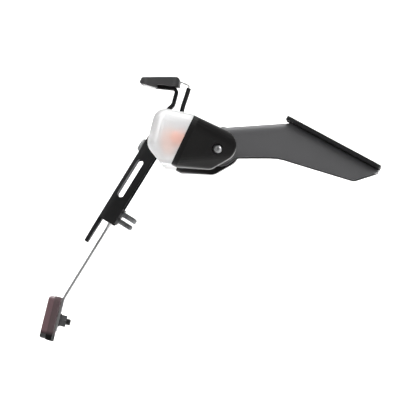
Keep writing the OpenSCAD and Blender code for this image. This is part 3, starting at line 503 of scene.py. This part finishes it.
def placed(origin, axis):
    """A matrix in metres for a fastener whose head looks along the axis."""
    z = Vector(axis).normalized()
    y = Vector((0, 1, 0)) if abs(z.y) < 0.5 else Vector((1, 0, 0))
    turn = Matrix((y.cross(z), y, z)).transposed().to_4x4()
    return Matrix.Translation(Vector(origin) / 1000) @ turn @ Matrix.Scale(0.001, 4)


def turned(bm, rings, closed=False, steps=48):
    """Extrudes rings of (radius, height), or of (half width, height, chamfer) for a hexagon."""
    ring, edges = first_ring(bm, steps, Matrix())
    mouth = edges
    for i, (radius, height, *chamfer) in enumerate(rings):
        if i:
            ring, edges = next_ring(bm, edges)
        for corner in ring:
            a = math.atan2(corner.co.y, corner.co.x)
            off_flat = (a + math.pi / 6) % (math.pi / 3) - math.pi / 6
            r = radius / math.cos(off_flat) if chamfer else radius
            z = height - chamfer[0] * (r - radius) if chamfer else height
            corner.co = (r * math.cos(a), r * math.sin(a), z)
    if closed:
        bmesh.ops.bridge_loops(bm, edges=mouth + edges)
    else:
        bmesh.ops.contextual_create(bm, geom=mouth)
        bmesh.ops.contextual_create(bm, geom=edges)


def core_r(d):
    return d / 2 - thread_depth * pitches[d]


def thread(bm, d, high, low, steps=24):
    """Spins a rolled ridge from the low to the high end, which fades into the core at both."""
    pitch = pitches[d]
    count = int((high - low) / pitch * steps)
    older = len(bm.verts)
    outline = [bm.verts.new((r, 0, low + up * pitch)) for r, up in (
        (core_r(d), -ridge_half), (d / 2, -crest_half), (d / 2, crest_half), (core_r(d), ridge_half))]
    edges = [bm.edges.new(pair) for pair in zip(outline, outline[1:] + outline[:1])]
    bmesh.ops.spin(bm, geom=outline + edges, cent=(0, 0, 0), axis=(0, 0, 1), dvec=(0, 0, pitch / steps),
                   angle=2 * math.pi * count / steps, steps=count)
    bm.verts.ensure_lookup_table()
    ridge = bm.verts[older:]
    for i in range(count + 1):
        crest = core_r(d) + (d / 2 - core_r(d)) * min(1, i / ridge_fades, (count - i) / ridge_fades)
        for corner in ridge[4 * i + 1:4 * i + 3]:
            corner.co.xy *= crest / (d / 2)
    for end in (ridge[:4], ridge[-4:]):
        bmesh.ops.pointmerge(bm, verts=end, merge_co=(end[0].co + end[3].co) / 2)


def screw(bm, d, l, head):
    """A screw with its head face or seat at zero and its thread down to -l."""
    key = socket_share * d
    top = head[0][1]
    seat = head[-1][1]
    turned(bm, [(key * 0.9, top - socket_depth * d, 0), (key, top - (socket_depth - 0.02) * d, 0),
                (key, top - 0.12, 0), (key * 1.12, top), *head,
                (core_r(d), seat - 0.3), (core_r(d), -l + tip_l), (core_r(d) - tip_cut, -l)])
    thread(bm, d, seat - 0.2, -l + tip_l)


def sunk_head(d, head_d):
    r = head_d / 2
    return (r - 0.15, 0), (r, -0.12), (r, -0.3), (d / 2, -0.3 - (r - d / 2))


def button_head(head_d, h):
    bow = [(head_d * (0.24 + 0.26 * math.sin(a)), h * (0.35 + 0.65 * math.cos(a)))
           for a in (math.pi * k / 16 for k in range(9))]
    return bow + [(head_d / 2, 0.15), (head_d / 2 - 0.15, 0), (head_d * 0.27, 0)]


def nut(bm, d):
    """A chamfered hexagon nut that stands on zero."""
    half = nut_half_share * d + 0.1
    flat = half - 0.12
    h = nut_share * d
    bore = d / 2 + bore_gap
    turned(bm, [(bore + bore_cut, h), (flat, h), (half, h - 0.05, nut_chamfer), (half, 0.05, -nut_chamfer),
                (flat, 0), (bore + bore_cut, 0), (bore, bore_cut), (bore, h - bore_cut)], closed=True)


def set_out(bm, places):
    """Copies what is made so far to each of its places."""
    first = bm.verts[:] + bm.edges[:] + bm.faces[:]
    for place in places[1:]:
        made = bmesh.ops.duplicate(bm, geom=first)["geom"]
        bmesh.ops.transform(bm, matrix=place, verts=corners_of(made))
    bmesh.ops.transform(bm, matrix=places[0], verts=corners_of(first))


def detailed(node, bm, places, material, sharp=34):
    """Puts a detailed piece in the place of a CAD node."""
    set_out(bm, places)
    piece = closed_piece(node + "_detail", bm, material)
    piece.data.set_sharp_from_angle(angle=math.radians(sharp))
    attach(piece, "root")
    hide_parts(node)


def on_hanger(x, y, up):
    return hanger_zero + hanger_axis * x + Vector((0, y, 0)) + hanger_up * up


zinc_plate = grained("zinc_plate", (0.36, 0.365, 0.37),
                     {"Roughness": 0.3, "Roughness Spread": 0.18, "Colour Spread": 0.2, "Cloud Size": 160,
                      "Grain Size": 2600, "Grain Depth": 0.00001}, Metallic=1.0)
dull_plate = grained("dull_zinc_plate", (0.11, 0.11, 0.112),
                     {"Roughness": 0.42, "Roughness Spread": 0.2, "Colour Spread": 0.3, "Cloud Size": 220,
                      "Grain Size": 2600, "Grain Depth": 0.00001}, Metallic=1.0)
stay_plate = grained("stay_zinc_plate", (0.33, 0.333, 0.336),
                     {"Roughness": 0.42, "Roughness Spread": 0.2, "Colour Spread": 0.25, "Cloud Size": 60,
                      "Grain Size": 1800, "Grain Depth": 0.00001, "Stretch": (1, 1, 0.12)}, Metallic=0.5)

arm_nut_drop = 2 * sheet_t + nut_share * arm_screw_d
hanger_nut_x = hanger_t + sheet_t + washer_t
plate_nut_x = hanger_t + spacer_l + stay_t + small_washer_t
bm = bmesh.new()
screw(bm, arm_screw_d, arm_screw_l, sunk_head(arm_screw_d, arm_screw_head))
detailed("arm_screws", bm, [placed(seat_along * x - seat_up * sunk_by, seat_up)
                            for x in arm_screw_x], zinc_plate)
bm = bmesh.new()
nut(bm, arm_screw_d)
detailed("arm_nuts", bm, [placed(seat_along * x - seat_up * arm_nut_drop, seat_up)
                          for x in arm_screw_x], zinc_plate)
bm = bmesh.new()
screw(bm, hanger_bolt_d, hanger_bolt_l, button_head(*hanger_bolt_head))
detailed("hanger_bolts", bm, [placed(on_hanger(0, y, hanger_bolt_up), -hanger_axis)
                              for y in hanger_bolt_y], zinc_plate)
bm = bmesh.new()
nut(bm, hanger_bolt_d)
detailed("hanger_nuts", bm, [placed(on_hanger(hanger_nut_x, y, hanger_bolt_up), hanger_axis)
                             for y in hanger_bolt_y], zinc_plate)
bm = bmesh.new()
screw(bm, plate_bolt_d, plate_bolt_l, sunk_head(plate_bolt_d, plate_bolt_head))
detailed("plate_bolts", bm, [placed(on_hanger(sunk_by, y, up), -hanger_axis)
                             for y, up in plate_bolt_places], zinc_plate)
bm = bmesh.new()
nut(bm, plate_bolt_d)
detailed("plate_nuts", bm, [placed(on_hanger(plate_nut_x, y, up), hanger_axis)
                            for y, up in plate_bolt_places], dull_plate)

dress("hanger_washers", zinc_plate, 0.00015, 2)
for node in ("stay_spacers", "plate_washers", "reflector_washer"):
    dress(node, dull_plate, 0.00015, 2)
dress("reflector_stay", stay_plate, 0.0002)

# Reflector: a black moulded back with a deep red acrylic front, whose inner face is
# covered in small corner prisms. The two are welded together round the rim, where the
# light leaves the acrylic and it looks a dull brown, and painted shade blackens their foot.
reflector_tilt = math.radians(13.9)
reflector_axis = Vector((math.cos(reflector_tilt), 0, -math.sin(reflector_tilt)))
reflector_up = Vector((math.sin(reflector_tilt), 0, math.cos(reflector_tilt)))
bend_drop = 123.5
stay_bend = on_hanger(hanger_t + spacer_l, 0, -bend_drop)
prism_pitch = 0.0022
prism_depth = 0.0004
rim_brown = (0.15, 0.094, 0.101)
deep_red = (0.2, 0.009, 0.013)
# painted shade: the reflector's foot darkens to black between these two heights
foot_shade_top = -0.0252
foot_shade_full = -0.0282
foot_shade_black = (0.006, 0.006, 0.006)
stud_d = 5
stud_drop = 15.6
stud_l = 9.6
stud_set = 2.3


def make_prism_rows():
    """Height of rows of corner prisms, a mask of their face and one of the painted shade at its foot."""
    tree, given, made = new_group(
        "prism_rows", (("Pitch", "NodeSocketFloat", 0.002), ("Front", "NodeSocketFloat", -0.0086),
                       ("Margin", "NodeSocketFloat", 0.0001)),
        (("Height", "NodeSocketFloat"), ("Face", "NodeSocketFloat"), ("Foot Shade", "NodeSocketFloat")))
    flat = tree.nodes.new("ShaderNodeMapping")
    flat.vector_type = "TEXTURE"
    flat.inputs["Location"].default_value = stay_bend / 1000
    flat.inputs["Rotation"].default_value = (0, reflector_tilt, 0)
    tree.links.new(new_place(tree), flat.inputs["Vector"])
    axes = new_axes(tree, flat.outputs["Vector"])
    ramps = []
    for angle in (math.radians(90), math.radians(210), math.radians(330)):
        along = new_maths(tree, "ADD", new_maths(tree, "MULTIPLY", axes["Y"], math.cos(angle)),
                          new_maths(tree, "MULTIPLY", axes["Z"], math.sin(angle)))
        ramps.append(new_maths(tree, "FRACT", new_maths(tree, "DIVIDE", along, given["Pitch"])))
    lowest = new_maths(tree, "MINIMUM", new_maths(tree, "MINIMUM", ramps[0], ramps[1]), ramps[2])
    tree.links.new(lowest, made["Height"])
    edge = new_maths(tree, "ADD", given["Front"], given["Margin"])
    tree.links.new(new_maths(tree, "LESS_THAN", axes["X"], edge), made["Face"])
    tree.links.new(new_range(tree, axes["Z"], foot_shade_top, foot_shade_full), made["Foot Shade"])
    return tree


prism_rows = make_prism_rows()


def base_colour(material):
    """The socket that colours a material."""
    return material.node_tree.nodes["Principled BSDF"].inputs["Base Color"].links[0].from_socket


def shade_foot(material, colour):
    """Paints shade on the foot of a reflector material whose colour is a value or a socket."""
    tree = material.node_tree
    foot_shaded = new_tint(tree, use_group(tree, prism_rows, {})["Foot Shade"], colour, foot_shade_black)
    tree.links.new(foot_shaded, tree.nodes["Principled BSDF"].inputs["Base Color"])


red_acrylic = grained("red_acrylic", rim_brown,
                      {"Roughness": 0.16, "Roughness Spread": 0.05, "Colour Spread": 0.3, "Cloud Size": 200,
                       "Grain Size": 900, "Grain Depth": 0.00001}, Coat_Weight=0.6, Coat_Roughness=0.04)
tree = red_acrylic.node_tree
rows = use_group(tree, prism_rows, {"Pitch": prism_pitch})
shade_foot(red_acrylic, new_tint(tree, rows["Face"], rim_brown, deep_red))
prisms = tree.nodes.new("ShaderNodeBump")
prisms.inputs["Distance"].default_value = prism_depth
tree.links.new(new_maths(tree, "MULTIPLY", rows["Height"], rows["Face"]), prisms.inputs["Height"])
tree.links.new(prisms.outputs["Normal"], tree.nodes["Principled BSDF"].inputs["Normal"])
reflector_back = grained("reflector_back", (0.093, 0.065, 0.069),
                         {"Roughness": 0.75, "Roughness Spread": 0.15, "Cloud Size": 60, "Grain Size": 3200,
                          "Grain Depth": 0.00003}, Specular_IOR_Level=0.1)
shade_foot(reflector_back, base_colour(reflector_back))
dress("reflector_base", reflector_back, 0.0005)
dress("reflector_lens", red_acrylic, 0.0005)

stud_place = stay_bend - reflector_up * stud_drop
stud_core = core_r(stud_d)
bm = bmesh.new()
turned(bm, [(stud_d / 2, -stud_set), (stud_d / 2, 0.4), (stud_core, 0.7), (stud_core, stud_l - tip_l),
            (stud_core - tip_cut, stud_l)])
thread(bm, stud_d, stud_l - tip_l, 0.8)
detailed("reflector_stud", bm, [placed(stud_place, reflector_axis)], dull_plate)
bm = bmesh.new()
nut(bm, stud_d)
detailed("reflector_nut", bm, [placed(stud_place + reflector_axis * (stay_t + washer_t), reflector_axis)],
         dull_plate)

# Plate lamp: a dark grey moulded body over a small board with three pale lamps, which
# shine down through a clear cover. Two countersunk screws hold it on the hanger's tab.
lamp_tilt = math.radians(5.9)
lamp_zero = Vector((-109.951, 0, 38.434))
lamp_along = Vector((math.cos(lamp_tilt), 0, -math.sin(lamp_tilt)))
lamp_up = Vector((math.sin(lamp_tilt), 0, math.cos(lamp_tilt)))
lamp_w = 54
chip_back = 21.416
chip_up = 1.384
chip_pitch = lamp_w / 3.4
chip_outline = ((1.62, -0.1), (1.6, 0), (1.5, 0.22), (1.2, 0.42), (0.8, 0.55), (0.3, 0.6))

lamp_grey = grained("lamp_grey", (0.035, 0.035, 0.036),
                    {"Roughness": 0.46, "Roughness Spread": 0.15, "Cloud Size": 60, "Grain Size": 3000,
                     "Grain Depth": 0.00002})
board_green = grained("board_green", (0.02, 0.12, 0.05),
                      {"Roughness": 0.35, "Cloud Size": 400, "Grain Size": 1500, "Colour Spread": 0.6})
clear_cover = grained("clear_cover", (0.885, 0.89, 0.892),
                      {"Roughness": 0.3, "Roughness Spread": 0.05, "Colour Spread": 0.02, "Cloud Size": 80,
                       "Grain Size": 500, "Grain Depth": 0.00001}, Transmission_Weight=0.9, IOR=1.45)
phosphor = grained("phosphor", (0.88, 0.72, 0.22),
                   {"Roughness": 0.25, "Roughness Spread": 0.1, "Colour Spread": 0.15, "Cloud Size": 600,
                    "Grain Size": 2500, "Grain Depth": 0.00001},
                   Subsurface_Weight=0.1, Subsurface_Scale=0.001)
dress("lamp_housing", lamp_grey, 0.0006)
dress("lamp_lens", clear_cover, 0.0003).visible_shadow = False
dress("lamp_board", board_green)

chip_place = lamp_zero - lamp_along * chip_back + lamp_up * chip_up
bm = bmesh.new()
turned(bm, chip_outline, steps=32)
set_out(bm, [placed(chip_place + Vector((0, y, 0)), -lamp_up) for y in (-chip_pitch, 0, chip_pitch)])
chips = closed_piece("lamp_chips", bm, phosphor)
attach(chips, "root")
dress("lamp_screws", zinc_plate, 0.0001, 2)

# Indicators: a black moulded housing with a clear lens behind, fluted inside, a bright
# plated bowl and an amber bulb, and a ribbed rubber stem round a hollow steel core. A
# clamp screw from the outer side pulls the housing onto the core.
cast_at = Vector((-0.1158, 0, -0.0025))
cast_reach = Vector((0.0085, 0, 0.0135))
cast_edge = 1.0
cast_full = 0.3
# painted light: the amber glow painted on the lens near the bulb
painted_amber_glow = (0.95, 0.83, 0.79)
stem_at = Vector((-81.975, 0, -7.669))
ear_face = 38
stem_bore = 3.05
stem_r = 7
stem_l = 46
stem_folds = 5
folds_from = 7
folds_l = 32
fold_depth = 0.9
fold_steps = 12
clamp_d = 4
clamp_l = 27.49
clamp_head = (7, 2.2)
clamp_face = 118.49


def make_bulb_cast():
    """A mask of the painted amber glow beside the bulb, standing in for its light caught in the lens's
    flutes.
    """
    tree, given, made = new_group("bulb_cast", (("Strength", "NodeSocketFloat", 1.0),),
                                  (("Cast", "NodeSocketFloat"),))
    axes = new_axes(tree, new_place(tree))
    squares = []
    for axis, middle, reach in (("X", cast_at.x, cast_reach.x), ("Z", cast_at.z, cast_reach.z)):
        off = new_maths(tree, "DIVIDE", new_maths(tree, "SUBTRACT", axes[axis], middle), reach)
        squares.append(new_maths(tree, "POWER", off, 2))
    far = new_maths(tree, "SQRT", new_maths(tree, "ADD", *squares))
    near = new_range(tree, far, cast_edge, cast_full, smooth=True)
    tree.links.new(new_maths(tree, "MULTIPLY", near, given["Strength"]), made["Cast"])
    return tree


amber_glass = grained("amber_glass", (0.95, 0.44, 0.3),
                      {"Roughness": 0.1, "Roughness Spread": 0.03, "Cloud Size": 150, "Colour Spread": 0.1,
                       "Grain Size": 500, "Grain Depth": 0.00001}, Transmission_Weight=0.35)
bright_bowl = grained("bright_bowl", (0.86, 0.87, 0.88),
                      {"Roughness": 0.1, "Roughness Spread": 0.06, "Cloud Size": 150, "Colour Spread": 0.05,
                       "Grain Size": 700, "Grain Depth": 0.00001}, Metallic=1.0)
# Painted highlight: a lighter copy of the zinc plate for the clamp screws, standing in for light on their
# heads in the recess.
clamp_lit_plate = grained("clamp_lit_zinc_plate", (0.62, 0.625, 0.63),
                       {"Roughness": 0.38, "Roughness Spread": 0.18, "Colour Spread": 0.15, "Cloud Size": 220,
                        "Grain Size": 2600, "Grain Depth": 0.00001}, Metallic=1.0)
fluted_cover = clear_cover.copy()
fluted_cover.name = "fluted_cover"
tree = fluted_cover.node_tree
# Painted light: the clear cover is tinted amber near the bulb, a painted glow of the bulb in the flutes.
cast = use_group(tree, make_bulb_cast(), {})["Cast"]
tree.links.new(new_tint(tree, cast, base_colour(fluted_cover), painted_amber_glow),
               tree.nodes["Principled BSDF"].inputs["Base Color"])

stem_outline = [(stem_bore, 0), (7.5, 0), (7.8, 0.3), (7.8, 2.6), (7.5, 3.1), (7.15, 5), (stem_r, 6)]
for k in range(stem_folds * fold_steps):
    dip = (0.5 - 0.5 * math.cos(2 * math.pi * k / fold_steps)) ** 0.7
    stem_outline.append((stem_r - fold_depth * dip, folds_from + folds_l * k / (stem_folds * fold_steps)))
stem_outline += [(stem_r, 39), (7.1, 41), (8.1, 43.6), (8.4, 44.4), (8.4, stem_l), (stem_bore, stem_l)]

for side, way in (("left", Vector((0, 1, 0))), ("right", Vector((0, -1, 0)))):
    bm = bmesh.new()
    turned(bm, stem_outline, closed=True)
    detailed(side + "_stem", bm, [placed(stem_at + way * ear_face, way)], rubber, 50)
    dress(side + "_housing", moulded, 0.0012, 4)
    dress(side + "_lens", fluted_cover, 0.0012, 4).visible_shadow = False
    dress(side + "_bowl", bright_bowl)
    dress(side + "_bulb", amber_glass)
    dress(side + "_bulb_holder", moulded)
    dress(side + "_core", zinc_plate)
    dress(side + "_core_nut", zinc_plate, 0.0001, 2)
    bm = bmesh.new()
    screw(bm, clamp_d, clamp_l, button_head(*clamp_head))
    detailed(side + "_clamp_screw", bm, [placed(stem_at + way * clamp_face, way)], clamp_lit_plate)
